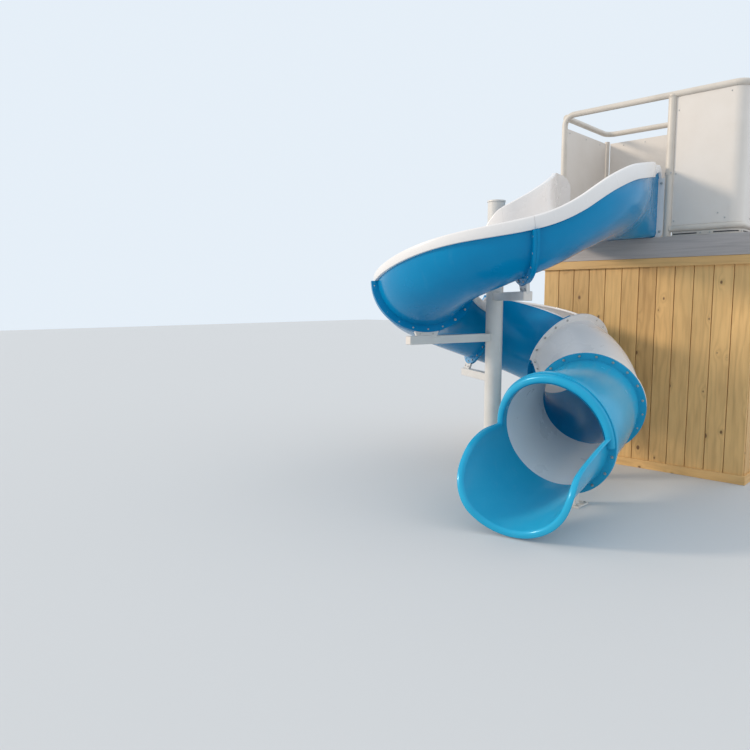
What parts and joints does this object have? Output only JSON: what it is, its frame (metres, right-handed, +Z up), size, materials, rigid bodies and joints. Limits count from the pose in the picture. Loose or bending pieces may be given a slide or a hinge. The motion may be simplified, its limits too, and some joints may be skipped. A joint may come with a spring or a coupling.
{
  "type": "water slide tower",
  "caption": "Timber deck tower with guard rails and a spiral flume that winds once round a steel post to an open exit trough.",
  "frame": {"origin": "centre of the underside of the spiral post's base plate, on the ground", "axes": "+Z up; +Y from the spiral post towards the tower; the slide leaves the deck and the exit both heading -Y; +X to the right seen from the exit"},
  "size_m": [2.3758, 3.27, 2.957],
  "materials": {
    "flume_shell": "glossy glass-fibre gel coat, blue outside and warm white inside",
    "white_shell": "glossy warm white gel coat",
    "blue_shell": "glossy blue gel coat",
    "sheet_panel": "matt light grey sheet",
    "timber_boards": "yellow pine boards with knots, oiled",
    "timber_trim": "yellow pine trim, oiled",
    "composite_board": "grey composite decking with a wood grain",
    "rail_paint": "satin off-white powder coat",
    "post_paint": "satin off-white powder coat"
  },
  "bodies": {
    "root": {"cap_board_back": "timber_trim", "cap_board_front": "timber_trim", "cap_board_left": "timber_trim", "cap_board_right": "timber_trim", "center_post": "post_paint", "closed_bend_cover": "white_shell", "closed_bend_trough": "blue_shell", "deck_floor": "composite_board", "entry_flume": "flume_shell", "exit_leg": "post_paint", "exit_leg_foot": "post_paint", "exit_trough": "blue_shell", "exit_tube": "blue_shell", "fascia_back": "composite_board", "fascia_front": "composite_board", "fascia_left": "composite_board", "fascia_right": "composite_board", "guard_rail_back": "rail_paint", "guard_rail_front": "rail_paint", "kick_track_front": "rail_paint", "panel_back": "sheet_panel", "panel_front_right": "sheet_panel", "panel_left": "sheet_panel", "post_base_plate": "post_paint", "post_cap": "post_paint", "rear_bend_flume": "flume_shell", "rear_high_flume": "flume_shell", "saddle_left": "post_paint", "saddle_lower": "post_paint", "saddle_rear": "post_paint", "saddle_upper": "post_paint", "skirting_back": "timber_trim", "skirting_front": "timber_trim", "skirting_left": "timber_trim", "skirting_right": "timber_trim", "support_arm_left": "post_paint", "support_arm_lower": "post_paint", "support_arm_rear": "post_paint", "support_arm_upper": "post_paint", "upper_bend_flume": "flume_shell", "wall_back": "timber_boards", "wall_front": "timber_boards", "wall_left": "timber_boards", "wall_right": "timber_boards"}
  },
  "joints": []
}
